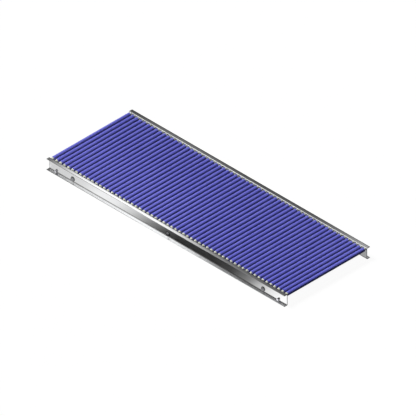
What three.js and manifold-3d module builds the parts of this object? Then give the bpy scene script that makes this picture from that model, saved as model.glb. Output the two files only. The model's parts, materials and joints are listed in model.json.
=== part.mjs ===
// A light roller conveyor section: two folded steel rails, plastic rollers between them, and cross ties below.
// Millimetres. +X runs along the rails, +Y across them and +Z up. The origin is on the ground, in the middle.
// The near rail is the one at -Y. Rollers are numbered from the -X end.

import * as THREE from "three";
import { mergeVertices } from "three/addons/utils/BufferGeometryUtils.js";
import Module from "manifold-3d";

const wasm = await Module();
wasm.setup();

// The frame as a whole
const RAIL_LENGTH = 1500;
const CLEAR_WIDTH = 500; // between the inner faces of the two webs

// Side rails: sheet folded to a C that opens outwards
const RAIL_HEIGHT = 60;
const RAIL_WIDTH = 20; // inner face of the web to the edge of a flange
const SHEET_THICKNESS = 2;
const FOLD_INNER_RADIUS = 2;
const FOLD_STEPS = 3;

// Rollers: a plastic tube with a moulded cap in each end, and an axle that ends in the webs
const ROLLER_PITCH = 25;
const TUBE_DIAMETER = 20;
const TUBE_ABOVE_RAIL = 2; // top of the tubes over the top of the rails
const CAP_DIAMETER = 16;
const CAP_LENGTH = 8; // the part of a cap that shows beyond its tube
const CAP_TO_WEB = 1; // running gap beside the web
const AXLE_DIAMETER = 6;
const AXLE_CLEARANCE = 0.35; // all round, in the web's hole
const AXLE_PAST_WEB = 2;
const ROLLER_SIDES = 10;
const AXLE_HOLE_SIDES = 8;

// Rollers that turn are separate. Those at the -X end are one solid, on a strip at each side
const TURNING_COUNT = 49;
const LEAST_JOINED_COUNT = 11;
const STRIP_THICKNESS = 2; // along Y
const STRIP_HEIGHT = 3; // along Z

// Cross ties: a spacer tube between the webs, and a threaded rod with nuts through it
const TIE_COUNT = 3;
const TIE_TO_RAIL_END = 150;
const WASHER_TO_FOLD = 0.5; // the washers seat on the flat of the web, just above its lower fold
const TIE_TUBE_DIAMETER = 20;
const TIE_ROD_DIAMETER = 10;
const WASHER_DIAMETER = 24;
const WASHER_THICKNESS = 2;
const NUT_ACROSS_FLATS = 17;
const NUT_HEIGHT = 6;
const ROD_PAST_NUT = 1.5;

// End rods: plain bars through both webs, with a shoulder inside each web
const END_ROD_TO_RAIL_END = 50;
const END_ROD_HEIGHT = 13; // axis over the ground
const END_ROD_DIAMETER = 12;
const END_ROD_PAST_WEB = 13;
const SHOULDER_DIAMETER = 18;
const SHOULDER_LENGTH = 3;

const ROUND_SIDES = 12;
const HEX_SIDES = 6;
const SEAT_GAP = 0.3; // between pieces that are bolted up to each other, and round a rod in its hole
const CUT_OVERRUN = 5; // how far a cutting tool runs past a face

// Places worked out from the sizes above
const halfLength = RAIL_LENGTH / 2;
const webInner = CLEAR_WIDTH / 2;
const webOuter = webInner + SHEET_THICKNESS;
const flangeEdge = webInner + RAIL_WIDTH;
const foldOuterRadius = FOLD_INNER_RADIUS + SHEET_THICKNESS;
const axleHeight = RAIL_HEIGHT + TUBE_ABOVE_RAIL - TUBE_DIAMETER / 2;
const tieHeight = foldOuterRadius + WASHER_TO_FOLD + WASHER_DIAMETER / 2;
const rollerCount = Math.floor((RAIL_LENGTH + SEAT_GAP) / ROLLER_PITCH);
const joinedCount = Math.max(rollerCount - TURNING_COUNT, LEAST_JOINED_COUNT);

const material = (color, roughness, metalness) => new THREE.MeshStandardMaterial({ color, roughness, metalness });
const railSteel = material(0xc9cbcc, 0.22, 0.95);
const rollerPlastic = material(0x5a60b8, 0.42, 0);
const tieSteel = material(0xa9abad, 0.35, 0.9);
const nutSteel = material(0x8f9092, 0.4, 0.9);
const endRodSteel = material(0xb4b4bc, 0.35, 0.9);

/** Place of roller number index, counted from 0 at the -X end, along X. */
function rollerX(index) {
  return (index - (rollerCount - 1) / 2) * ROLLER_PITCH;
}

/** Places of the cross ties along X, evenly spread between the two outer ones. */
function tiePlaces() {
  const outer = halfLength - TIE_TO_RAIL_END;
  return Array.from({ length: TIE_COUNT }, (_, k) => THREE.MathUtils.lerp(-outer, outer, k / (TIE_COUNT - 1)));
}

/** Places of the end rods along X. */
function endRodPlaces() {
  return [-(halfLength - END_ROD_TO_RAIL_END), halfLength - END_ROD_TO_RAIL_END];
}

/** Turns a closed three.js geometry into a solid that can be joined and cut. */
function toSolid(geometry) {
  const bare = geometry.clone();
  bare.deleteAttribute("normal");
  bare.deleteAttribute("uv");
  const merged = mergeVertices(bare);
  const corners = merged.index.array;
  const triangles = [];
  for (let k = 0; k < corners.length; k += 3) {
    const [a, b, c] = corners.slice(k, k + 3);
    if (a !== b && b !== c && c !== a) {
      triangles.push(a, b, c);
    }
  }
  const vertProperties = new Float32Array(merged.attributes.position.array);
  return new wasm.Manifold(new wasm.Mesh({ numProp: 3, vertProperties, triVerts: new Uint32Array(triangles) }));
}

/** Turns a solid back into a three.js geometry. */
function toGeometry(solid) {
  const mesh = solid.getMesh();
  const geometry = new THREE.BufferGeometry();
  geometry.setAttribute("position", new THREE.BufferAttribute(mesh.vertProperties, mesh.numProp));
  geometry.setIndex(new THREE.BufferAttribute(mesh.triVerts, 1));
  geometry.computeVertexNormals();
  return geometry;
}

/** A named mesh of a solid. */
function piece(name, solid, finish) {
  const mesh = new THREE.Mesh(toGeometry(solid), finish);
  mesh.name = name;
  return mesh;
}

/** A solid turned about Y: pairs of radius and distance from the middle, from the middle out, the same on both sides. */
function turned(halfProfile, sides) {
  const right = halfProfile.map(([radius, y]) => new THREE.Vector2(radius, y));
  const left = halfProfile.map(([radius, y]) => new THREE.Vector2(radius, -y)).reverse();
  return toSolid(new THREE.LatheGeometry([...left, ...right], sides));
}

/** A bar along Y with flat sides, a flat side uppermost. radius is to the middle of a side. */
function bar(radius, length, sides) {
  const cornerRadius = radius / Math.cos(Math.PI / sides);
  return toSolid(new THREE.CylinderGeometry(cornerRadius, cornerRadius, length, sides, 1, false, Math.PI / sides));
}

/** Outline of the near rail: x of the shape runs along Y and y of the shape along Z. */
function railOutline() {
  const foldY = -webInner - foldOuterRadius;
  const upperFold = RAIL_HEIGHT - foldOuterRadius;
  const quarter = Math.PI / 2;
  const outline = new THREE.Shape();
  outline.moveTo(-flangeEdge, 0);
  outline.lineTo(foldY, 0);
  outline.absarc(foldY, foldOuterRadius, foldOuterRadius, -quarter, 0, false);
  outline.absarc(foldY, upperFold, foldOuterRadius, 0, quarter, false);
  outline.lineTo(-flangeEdge, RAIL_HEIGHT);
  outline.lineTo(-flangeEdge, RAIL_HEIGHT - SHEET_THICKNESS);
  outline.absarc(foldY, upperFold, FOLD_INNER_RADIUS, quarter, 0, true);
  outline.absarc(foldY, foldOuterRadius, FOLD_INNER_RADIUS, 0, -quarter, true);
  outline.lineTo(-flangeEdge, SHEET_THICKNESS);
  outline.closePath();
  return outline;
}

/** The near rail, with the holes for axles, tie rods and end rods through its web. */
function nearRail() {
  const extruded = new THREE.ExtrudeGeometry(railOutline(), {
    depth: RAIL_LENGTH,
    bevelEnabled: false,
    curveSegments: FOLD_STEPS,
  });
  const alongX = new THREE.Matrix4().makeBasis(
    new THREE.Vector3(0, 1, 0),
    new THREE.Vector3(0, 0, 1),
    new THREE.Vector3(1, 0, 0),
  );
  extruded.applyMatrix4(alongX).translate(-halfLength, 0, 0);
  let rail = toSolid(extruded);
  const webMiddle = -(webInner + webOuter) / 2;
  const cutLength = SHEET_THICKNESS + 2 * CUT_OVERRUN;
  const drill = (x, z, radius, sides) => {
    rail = rail.subtract(bar(radius, cutLength, sides).translate([x, webMiddle, z]));
  };
  for (let index = 0; index < rollerCount; index += 1) {
    drill(rollerX(index), axleHeight, AXLE_DIAMETER / 2 + AXLE_CLEARANCE, AXLE_HOLE_SIDES);
  }
  for (const x of tiePlaces()) {
    drill(x, tieHeight, TIE_ROD_DIAMETER / 2 + SEAT_GAP, ROUND_SIDES);
  }
  for (const x of endRodPlaces()) {
    drill(x, END_ROD_HEIGHT, END_ROD_DIAMETER / 2 + SEAT_GAP, ROUND_SIDES);
  }
  return rail;
}

/** One roller about its own axis: axle ends, caps and tube in one. */
function roller() {
  const axleRadius = AXLE_DIAMETER / 2;
  const capEnd = webInner - CAP_TO_WEB;
  const tubeEnd = capEnd - CAP_LENGTH;
  return turned(
    [
      [TUBE_DIAMETER / 2, tubeEnd],
      [CAP_DIAMETER / 2, tubeEnd],
      [CAP_DIAMETER / 2, capEnd],
      [axleRadius, capEnd],
      [axleRadius, webOuter + AXLE_PAST_WEB],
      [0, webOuter + AXLE_PAST_WEB],
    ],
    ROLLER_SIDES,
  );
}

/** The rollers at the -X end as one solid, held by a strip through their caps at each side. */
function joinedRollers() {
  let solid = roller().translate([rollerX(0), 0, axleHeight]);
  for (let index = 1; index < joinedCount; index += 1) {
    solid = solid.add(roller().translate([rollerX(index), 0, axleHeight]));
  }
  const run = rollerX(joinedCount - 1) - rollerX(0);
  const middle = (rollerX(joinedCount - 1) + rollerX(0)) / 2;
  const stripY = webInner - CAP_TO_WEB - CAP_LENGTH / 2;
  for (const side of [-1, 1]) {
    const strip = toSolid(new THREE.BoxGeometry(run, STRIP_THICKNESS, STRIP_HEIGHT));
    solid = solid.add(strip.translate([middle, side * stripY, axleHeight]));
  }
  return solid;
}

/** Threaded rod of a cross tie, with a washer and a nut against the outside of each web. */
function tieRod() {
  const rodRadius = TIE_ROD_DIAMETER / 2;
  const washerInner = webOuter + SEAT_GAP;
  const washerOuter = washerInner + WASHER_THICKNESS;
  const nutOuter = washerOuter + NUT_HEIGHT;
  const rodEnd = nutOuter + ROD_PAST_NUT;
  let solid = turned(
    [
      [rodRadius, washerInner],
      [WASHER_DIAMETER / 2, washerInner],
      [WASHER_DIAMETER / 2, washerOuter],
      [rodRadius, washerOuter],
      [rodRadius, rodEnd],
      [0, rodEnd],
    ],
    ROUND_SIDES,
  );
  const nutInner = (washerInner + washerOuter) / 2; // starts inside the washer, so that the two are one
  for (const side of [-1, 1]) {
    const nut = bar(NUT_ACROSS_FLATS / 2, nutOuter - nutInner, HEX_SIDES);
    solid = solid.add(nut.translate([0, (side * (nutInner + nutOuter)) / 2, 0]));
  }
  return solid;
}

/** Spacer tube of a cross tie, between the webs. */
function tieTube() {
  const boreRadius = TIE_ROD_DIAMETER / 2 + SEAT_GAP;
  const outerRadius = TIE_TUBE_DIAMETER / 2;
  const end = webInner - SEAT_GAP;
  const ring = [
    [boreRadius, -end],
    [outerRadius, -end],
    [outerRadius, end],
    [boreRadius, end],
    [boreRadius, -end],
  ];
  return toSolid(new THREE.LatheGeometry(ring.map(([radius, y]) => new THREE.Vector2(radius, y)), ROUND_SIDES));
}

/** Plain bar through both webs near a rail end, with its shoulders. */
function endRod() {
  const rodRadius = END_ROD_DIAMETER / 2;
  const shoulderOuter = webInner - SEAT_GAP;
  const shoulderInner = shoulderOuter - SHOULDER_LENGTH;
  const rodEnd = webOuter + END_ROD_PAST_WEB;
  return turned(
    [
      [rodRadius, shoulderInner],
      [SHOULDER_DIAMETER / 2, shoulderInner],
      [SHOULDER_DIAMETER / 2, shoulderOuter],
      [rodRadius, shoulderOuter],
      [rodRadius, rodEnd],
      [0, rodEnd],
    ],
    ROUND_SIDES,
  );
}

/** The two rails. The far one is the near one turned half a turn about Z. */
function rails() {
  const group = new THREE.Group();
  const near = piece("rail_near", nearRail(), railSteel);
  const far = piece("rail_far", nearRail(), railSteel);
  far.rotation.z = Math.PI;
  group.add(near, far);
  return group;
}

/** The cross ties and end rods under the rollers. */
function crossMembers() {
  const group = new THREE.Group();
  tiePlaces().forEach((x, k) => {
    const rod = piece(`tie_rod_${k + 1}`, tieRod(), nutSteel);
    const tube = piece(`tie_tube_${k + 1}`, tieTube(), tieSteel);
    rod.position.set(x, 0, tieHeight);
    tube.position.set(x, 0, tieHeight);
    group.add(rod, tube);
  });
  endRodPlaces().forEach((x, k) => {
    const rod = piece(`end_rod_${k + 1}`, endRod(), endRodSteel);
    rod.position.set(x, 0, END_ROD_HEIGHT);
    group.add(rod);
  });
  return group;
}

/** The bed of rollers: the joined ones at the -X end, then one mesh for each roller that turns. */
function rollerBed() {
  const group = new THREE.Group();
  group.add(piece("rollers_joined", joinedRollers(), rollerPlastic));
  for (let index = joinedCount; index < rollerCount; index += 1) {
    const turning = piece(`roller_${String(index + 1).padStart(2, "0")}`, roller(), rollerPlastic);
    turning.position.set(rollerX(index), 0, axleHeight);
    group.add(turning);
  }
  return group;
}

const conveyor = new THREE.Group();
conveyor.add(rails(), crossMembers(), rollerBed());

export default conveyor;
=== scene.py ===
"""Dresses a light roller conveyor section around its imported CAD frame, and lights it in a small studio.

Every size is in metres, in the frame of the CAD model: X along the rails, Y along the roller axles, Z up,
with the origin in the middle of the section, on the plane that the rails stand on.
"""

import json
import logging
import math
from dataclasses import dataclass
from enum import Enum
from typing import Iterable, Mapping, Optional, Sequence, Union

import bmesh
import bpy
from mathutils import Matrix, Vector

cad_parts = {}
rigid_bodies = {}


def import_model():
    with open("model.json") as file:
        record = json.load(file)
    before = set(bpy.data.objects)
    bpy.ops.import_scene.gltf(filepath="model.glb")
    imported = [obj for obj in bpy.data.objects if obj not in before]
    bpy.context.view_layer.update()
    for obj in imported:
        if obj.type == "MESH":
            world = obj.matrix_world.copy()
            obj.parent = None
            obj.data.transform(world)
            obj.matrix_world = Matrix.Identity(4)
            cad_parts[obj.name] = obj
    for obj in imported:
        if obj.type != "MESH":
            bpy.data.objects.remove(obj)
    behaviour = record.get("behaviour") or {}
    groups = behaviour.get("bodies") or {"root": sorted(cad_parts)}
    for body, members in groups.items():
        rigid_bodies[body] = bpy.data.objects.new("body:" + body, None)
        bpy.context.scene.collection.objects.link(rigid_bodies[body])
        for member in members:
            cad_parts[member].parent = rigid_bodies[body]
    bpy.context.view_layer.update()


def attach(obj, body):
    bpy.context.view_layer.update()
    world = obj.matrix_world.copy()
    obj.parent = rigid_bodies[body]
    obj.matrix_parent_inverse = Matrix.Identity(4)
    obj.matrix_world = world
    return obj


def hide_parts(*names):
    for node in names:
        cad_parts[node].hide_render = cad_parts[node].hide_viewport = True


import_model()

LOG = logging.getLogger("roller_conveyor")

Colour = tuple[float, float, float]
Triple = tuple[float, float, float]
Point = tuple[float, float]
Profile = Sequence[Point]
Stops = Sequence[Point]

MILLIMETRES = 1000  # in a metre
CENTIMETRES = 100
WHITE: Colour = (1.0, 1.0, 1.0)

# Faces that meet at less than this angle are shaded smooth.
SMOOTH_BELOW = math.radians(32)
# A face is square to an axis where a part of its normal is at least this long.
AXIS_ALIGNED = 0.99995


class Side(Enum):
    """The section's two long sides, by the sign of Y."""

    NEAR = -1
    FAR = 1


class Slot(Enum):
    """The record's material slots."""

    RAIL = "rail_steel"
    ROLLER = "roller_plastic"
    CAP = "cap_plastic"
    TIE = "tie_steel"
    FASTENER = "fastener_steel"
    END_ROD = "end_rod_steel"


class Wire:
    """A node's output that adds Math nodes where it is used in an expression."""

    def __init__(self, graph: "NodeGraph", socket: Optional[bpy.types.NodeSocket]) -> None:
        """Keeps the socket and the graph that it is in.

        Args:
            graph: The graph that new nodes are added to.
            socket: The output socket, or None for a node that has none.
        """
        self.graph = graph
        self.socket = socket

    def _math(self, operation: str, first: "Feed", second: "Feed" = 0.0) -> "Wire":
        """Adds one Math node.

        Args:
            operation: The node's operation.
            first: What its first socket gets.
            second: What its second socket gets.

        Returns:
            The node's result.
        """
        return self.graph.node("ShaderNodeMath", {"operation": operation}, {0: first, 1: second})

    def __add__(self, other: "Feed") -> "Wire":
        """The sum of both."""
        return self._math("ADD", self, other)

    __radd__ = __add__

    def __sub__(self, other: "Feed") -> "Wire":
        """This less the other."""
        return self._math("SUBTRACT", self, other)

    def __rsub__(self, other: "Feed") -> "Wire":
        """The other less this."""
        return self._math("SUBTRACT", other, self)

    def __mul__(self, other: "Feed") -> "Wire":
        """The product of both."""
        return self._math("MULTIPLY", self, other)

    __rmul__ = __mul__

    def beside(self, name: Union[int, str]) -> "Wire":
        """Another output of the same node."""
        return Wire(self.graph, self.socket.node.outputs[name])

    def size(self) -> "Wire":
        """Its value without the sign."""
        return self._math("ABSOLUTE", self)

    def at_most(self, most: "Feed") -> "Wire":
        """The smaller of both."""
        return self._math("MINIMUM", self, most)


Feed = Union[Wire, float, int, Sequence[float], bpy.types.ID]


class NodeGraph:
    """A node tree of any kind, with one method that makes every node in it."""

    def __init__(self, tree: bpy.types.NodeTree) -> None:
        """Takes a tree and empties it.

        Args:
            tree: The node tree to fill.
        """
        self.tree = tree
        tree.nodes.clear()

    def node(
        self,
        kind: str,
        settings: Optional[Mapping[str, object]] = None,
        inputs: Optional[Mapping[Union[int, str], Feed]] = None,
        output: Union[int, str] = 0,
    ) -> Wire:
        """Adds a node, sets it up, then feeds its sockets.

        Args:
            kind: The node's type.
            settings: Its properties, and "stops" for the places and values of a ramp.
            inputs: Values or wires, by the socket's name or number.
            output: The output that is wanted.

        Returns:
            That output.
        """
        made = self.tree.nodes.new(kind)
        for name, value in (settings or {}).items():
            if name == "stops":
                self._set_stops(made.color_ramp, value)
            else:
                setattr(made, name, value)
        for key, value in (inputs or {}).items():
            if isinstance(value, Wire):
                self.tree.links.new(value.socket, made.inputs[key])
            else:
                made.inputs[key].default_value = value
        return Wire(self, made.outputs[output] if made.outputs else None)

    @staticmethod
    def _set_stops(ramp: bpy.types.ColorRamp, stops: Stops) -> None:
        """Gives a ramp its grey stops.

        Args:
            ramp: The ramp, as new.
            stops: Places from 0 to 1 in rising order, each with its value.
        """
        while len(ramp.elements) < len(stops):
            ramp.elements.new(1.0)
        for element, (place, value) in zip(ramp.elements, stops):
            element.position = place
            element.color = (value, value, value, 1.0)


class ShaderGraph(NodeGraph):
    """The node tree of a material or of the world, with the patterns that finishes share."""

    ASKEW: Triple = (0.3, 0.36, 0.22)

    def place(self) -> Wire:
        """Object coordinates, which are those of the CAD frame."""
        return self.node("ShaderNodeTexCoord", output="Object")

    def axes(self, place: Optional[Wire] = None) -> tuple[Wire, Wire, Wire]:
        """X, Y and Z of some coordinates, or of the object's own where none are given."""
        along = self.node("ShaderNodeSeparateXYZ", None, {0: place or self.place()}, "X")
        return along, along.beside("Y"), along.beside("Z")

    def askew(self, place: Wire) -> Wire:
        """Coordinates turned off all three axes."""
        inputs = {"Vector": place, "Rotation": self.ASKEW}
        return self.node("ShaderNodeVectorRotate", {"rotation_type": "EULER_XYZ"}, inputs)

    def noise(
        self, place: Wire, scale: Union[float, Triple], detail: float = 2.0, rough: float = 0.5
    ) -> Wire:
        """Noise from 0 to 1, with about `scale` blotches for each metre.

        Args:
            place: The coordinates.
            scale: Blotches for each metre, alike along all axes or given for X, Y and Z.
            detail: Octaves of finer noise.
            rough: How strong the finer octaves are.

        Returns:
            The noise.
        """
        scales = scale if isinstance(scale, tuple) else (scale, scale, scale)
        spread = self.node("ShaderNodeVectorMath", {"operation": "MULTIPLY"}, {0: place, 1: scales})
        inputs = {"Vector": spread, "Scale": 1.0, "Detail": detail, "Roughness": rough}
        return self.node("ShaderNodeTexNoise", None, inputs, "Fac")

    def ramp(self, value: Wire, stops: Stops) -> Wire:
        """The value read off a ramp of greys."""
        return self.node("ShaderNodeValToRGB", {"stops": stops}, {"Fac": value})

    def signed_ramp(self, value: Wire, stops: Stops) -> Wire:
        """A value from -1 to 1 read off a ramp of greys."""
        return self.ramp(value * 0.5 + 0.5, stops)

    def past(self, value: Wire, edge: float, stops: Stops) -> Wire:
        """The value read off a ramp that is a millimetre long, with its middle at an edge."""
        return self.ramp((value - edge) * MILLIMETRES + 0.5, stops)

    def mixed(self, factor: Feed, low: Feed, high: Feed) -> Wire:
        """A colour between two, by a factor. The Mix node knows its colour sockets by number."""
        inputs = {0: factor, 6: low, 7: high}
        return self.node("ShaderNodeMix", {"data_type": "RGBA"}, inputs, 2)

    def bumped(self, height: Wire, depth: float, strength: float = 0.5) -> Wire:
        """A normal from a height, whose 1 stands as high as the depth, in metres."""
        return self.node("ShaderNodeBump", None, {"Height": height, "Distance": depth, "Strength": strength})

    def rays(self, *kinds: str) -> Wire:
        """Tells rays of some kinds from all others.

        Args:
            kinds: Outputs of the Light Path node.

        Returns:
            1 for rays of any of these kinds, else 0.
        """
        path = self.node("ShaderNodeLightPath")
        total = path.beside(kinds[0])
        for kind in kinds[1:]:
            total = total + path.beside(kind)
        return total.at_most(1.0)

    def clear_from_behind(self, shader: Wire) -> Wire:
        """Makes a surface vanish where it is seen from behind.

        Args:
            shader: How it looks from the front.

        Returns:
            The mixed shader.
        """
        behind = self.node("ShaderNodeNewGeometry", output="Backfacing")
        clear = self.node("ShaderNodeBsdfTransparent")
        return self.node("ShaderNodeMixShader", None, {0: behind, 1: shader, 2: clear})

    def finish(self, shader: Wire) -> None:
        """Sends a shader to the material's surface."""
        self.node("ShaderNodeOutputMaterial", None, {"Surface": shader})


def shade(colour: Colour, share: float = 1.0) -> tuple[float, float, float, float]:
    """A colour as a node takes it, made lighter or darker by a share."""
    return (colour[0] * share, colour[1] * share, colour[2] * share, 1.0)


def new_material(name: str) -> tuple[bpy.types.Material, ShaderGraph]:
    """Makes an empty material.

    Args:
        name: Its name.

    Returns:
        The material and its graph.
    """
    made = bpy.data.materials.new(name)
    made.use_nodes = True
    return made, ShaderGraph(made.node_tree)


def new_object(name: str, data: bpy.types.ID) -> bpy.types.Object:
    """Puts a mesh, a lamp or a camera into the scene.

    Args:
        name: The object's name.
        data: What it shows.

    Returns:
        The object, at the origin.
    """
    made = bpy.data.objects.new(name, data)
    bpy.context.scene.collection.objects.link(made)
    return made


@dataclass(frozen=True)
class Finish:
    """What every finish has."""

    name: str
    colour: Colour
    roughness: float

    def material(self) -> bpy.types.Material:
        """The finish as a material, made when it is first asked for."""
        found = bpy.data.materials.get(self.name)
        return found if found else self._make()

    def _make(self) -> bpy.types.Material:
        """Makes the material with its Principled shader.

        Returns:
            The new material.
        """
        made, graph = new_material(self.name)
        graph.finish(graph.node("ShaderNodeBsdfPrincipled", None, self._surface(graph)))
        return made

    def _varied(self, graph: ShaderGraph, noise: Wire, low: float, high: float) -> Wire:
        """The finish's colour, from a darker share to a lighter one by a noise."""
        return graph.mixed(noise, shade(self.colour, low), shade(self.colour, high))

    def _surface(self, graph: ShaderGraph) -> dict[str, Feed]:
        """What the Principled shader gets. Each finish has its own."""
        raise NotImplementedError


@dataclass(frozen=True)
class TubePlastic(Finish):
    """Dyed plastic tube: drawn streaks along Y, rings rubbed by goods, fine dust."""

    streak: float = 0.07
    rub: float = 0.2
    dust: float = 0.035
    gloss: float = 0.3
    rubbed_blue: Colour = (0.26, 0.27, 0.7)
    dust_grey: Colour = (0.62, 0.62, 0.66)
    streak_depth: float = 0.00005

    def _surface(self, graph: ShaderGraph) -> dict[str, Feed]:
        """Works out the streaks, the rubbed rings and the dust.

        Args:
            graph: The material's graph.

        Returns:
            What the Principled shader gets.
        """
        place = graph.place()
        streaks = graph.noise(place, (700.0, 3.0, 700.0), 3.0, 0.6)
        rings = graph.noise(place, (9.0, 420.0, 9.0), 4.0, 0.7)
        cloud = graph.noise(place, 22.0, 3.0)
        rubbed = graph.ramp(rings * 0.7 + cloud * 0.3, ((0.52, 0.0), (0.66, 1.0)))
        dusty = graph.ramp(graph.noise(place, 1400.0), ((0.6, 0.0), (0.75, 1.0)))
        body = self._varied(graph, streaks, 1 - self.streak, 1 + self.streak)
        worn = graph.mixed(rubbed * self.rub, body, shade(self.rubbed_blue))
        return {
            "Base Color": graph.mixed(dusty * self.dust, worn, shade(self.dust_grey)),
            "Roughness": self.roughness + (streaks - 0.5) * 0.10 + rubbed * 0.10 + dusty * 0.05,
            "IOR": 1.46,
            "Specular IOR Level": self.gloss,
            "Normal": graph.bumped(streaks * 0.6 + rings * 0.4, self.streak_depth),
        }


@dataclass(frozen=True)
class MouldedPlastic(Finish):
    """Moulded plastic: a spark-eroded grain, flow clouds and a little grime in the low blotches."""

    grime_tan: Colour = (0.36, 0.35, 0.25)
    grain_depth: float = 0.00004

    def _surface(self, graph: ShaderGraph) -> dict[str, Feed]:
        """Works out the grain and the grime.

        Args:
            graph: The material's graph.

        Returns:
            What the Principled shader gets.
        """
        place = graph.place()
        cloud = graph.noise(place, 60.0, 3.0)
        grain = graph.noise(place, 1600.0)
        grime_and_shade = graph.ramp(graph.noise(place, 170.0, 4.0, 0.65), ((0.56, 0.0), (0.74, 1.0)))
        body = self._varied(graph, cloud, 0.94, 1.05)
        return {
            "Base Color": graph.mixed(grime_and_shade * 0.22, body, shade(self.grime_tan)),
            "Roughness": self.roughness + (grain - 0.5) * 0.12 + grime_and_shade * 0.14,
            "IOR": 1.5,
            "Normal": graph.bumped(grain, self.grain_depth),
        }


@dataclass(frozen=True)
class RolledSheet(Finish):
    """Bright rolled sheet: rolling lines along X and hairlines, with painted shade on the ends, the tips and
    the folds, and a painted highlight along the near tip.
    """

    # Where the painted shade on the ends, on the flanges' tips, on the far tip and on the near upper fold
    # begins.
    end_from: float = 0.7482
    tip_from: float = 0.2693
    far_tip_shade_from: float = 0.2663
    fold_shade_from: float = 0.0583
    fold_shade_edge: float = -0.2542
    # The lower folds get painted shade round the line where the web's face meets the ground, more or less
    # far.
    web_outer: float = 0.252
    crease_shade_wander: float = 0.0012
    # The tones of the painted shade on the ends, the tips, the far tip, the near upper fold and the lower
    # folds' crease.
    end_shade_tone: Colour = (0.07, 0.07, 0.075)
    tip_shade_tone: Colour = (0.08, 0.08, 0.085)
    shade_black: Colour = (0.02, 0.02, 0.02)
    crease_shade_tone: Colour = (0.14, 0.138, 0.135)
    scratch: Colour = (0.92, 0.92, 0.93)
    roll_depth: float = 0.00002
    roll_strength: float = 0.35

    def _edges(self, graph: ShaderGraph, place: Wire, cloud: Wire, body: Wire) -> Wire:
        """Paints shade on the ends, the flanges' tips, the near rail's upper fold and the lower folds, and a
        highlight along the near tip.

        Args:
            graph: The material's graph.
            place: Object coordinates.
            cloud: A slow noise, which makes the painted shade in the lower folds uneven.
            body: The colour so far.

        Returns:
            The colour.
        """
        along, aside, up = graph.axes(place)
        across = aside.size()
        near = graph.signed_ramp(aside, ((0.45, 1.0), (0.55, 0.0)))
        # Painted shade: the last stretch of each end is darkened near black, as a dark edge line.
        end = graph.past(along.size(), self.end_from, ((0.5, 0.0), (0.6, 1.0)))
        # Painted shade: the flanges' tips are darkened as dark edge lines. On the near rail, a painted
        # highlight lightens them from just left of the middle to the +X end.
        tip = graph.past(across, self.tip_from, ((0.5, 0.0), (0.8, 1.0)))
        tip_highlight = near * graph.signed_ramp(along, ((0.38, 0.0), (0.45, 0.75)))
        # Painted shade: a near-black line along the far rail's tip.
        far_tip_shade = graph.past(aside, self.far_tip_shade_from, ((0.2, 0.0), (0.9, 1.0)))
        # Painted shade: a dark line along the top of the near rail's upper fold, beside the caps, fading out
        # past about X 0.3.
        raised = graph.past(up, self.fold_shade_from, ((0.4, 0.0), (0.6, 1.0)))
        inside = graph.past(aside, self.fold_shade_edge, ((0.4, 0.0), (0.6, 1.0)))
        grime_and_shade = raised * inside * near * graph.signed_ramp(along, ((0.64, 1.0), (0.72, 0.0)))
        # Painted shade in the lower folds' crease, where the web meets the lower flange.
        corner = across - self.web_outer + up + (cloud - 0.5) * self.crease_shade_wander
        crease_shade = graph.ramp(corner * CENTIMETRES, ((0.40, 1.0), (0.60, 0.0)))
        colour = body
        for cover, tone in (
            (end * 0.9, self.end_shade_tone),
            (tip * 0.9 * (1 - tip_highlight), self.tip_shade_tone),
            (far_tip_shade * 0.85, self.shade_black),
            (grime_and_shade * 0.9, self.shade_black),
            (crease_shade * 0.8, self.crease_shade_tone),
        ):
            colour = graph.mixed(cover, colour, shade(tone))
        return colour

    def _surface(self, graph: ShaderGraph) -> dict[str, Feed]:
        """Works out the rolling lines, the scratches and the edges.

        Args:
            graph: The material's graph.

        Returns:
            What the Principled shader gets.
        """
        place = graph.place()
        lines = graph.noise(place, (5.0, 1500.0, 1500.0), 3.0, 0.65)
        bands = graph.noise(place, (2.2, 90.0, 90.0))
        cloud = graph.noise(place, 16.0, 4.0, 0.6)
        hair = graph.noise(graph.askew(place), (45.0, 45.0, 2600.0))
        scratched = graph.ramp(hair, ((0.64, 0.0), (0.7, 1.0))) * graph.ramp(cloud, ((0.45, 0.0), (0.6, 1.0)))
        body = self._varied(graph, lines * 0.6 + cloud * 0.4, 0.93, 1.05)
        scored = graph.mixed(scratched * 0.25, body, shade(self.scratch))
        return {
            "Base Color": self._edges(graph, place, cloud, scored),
            "Metallic": 1.0,
            "Roughness": self.roughness + (lines - 0.5) * 0.08 + (cloud - 0.5) * 0.06 + scratched * 0.1,
            "Normal": graph.bumped(lines * 0.25 + bands * 0.75, self.roll_depth, self.roll_strength),
        }


@dataclass(frozen=True)
class TurnedSteel(Finish):
    """Steel bar and tube: tool marks round Y, or drawing lines along it, and a thin uneven film."""

    around: float = 1400.0
    along: float = 12.0
    film: Colour = (0.36, 0.34, 0.31)
    mark_depth: float = 0.00003

    def _surface(self, graph: ShaderGraph) -> dict[str, Feed]:
        """Works out the tool marks and the film.

        Args:
            graph: The material's graph.

        Returns:
            What the Principled shader gets.
        """
        place = graph.place()
        marks = graph.noise(place, (self.along, self.around, self.along), 3.0, 0.6)
        drawn = graph.noise(place, (900.0, 6.0, 900.0), 3.0, 0.6)
        filmed = graph.ramp(graph.noise(place, 75.0, 4.0, 0.6), ((0.5, 0.0), (0.72, 1.0)))
        body = self._varied(graph, marks, 0.9, 1.06)
        return {
            "Base Color": graph.mixed(filmed * 0.3, body, shade(self.film)),
            "Metallic": 1.0,
            "Roughness": self.roughness + (marks - 0.5) * 0.1 + filmed * 0.12,
            "Normal": graph.bumped(marks * 0.6 + drawn * 0.4, self.mark_depth),
        }


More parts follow.
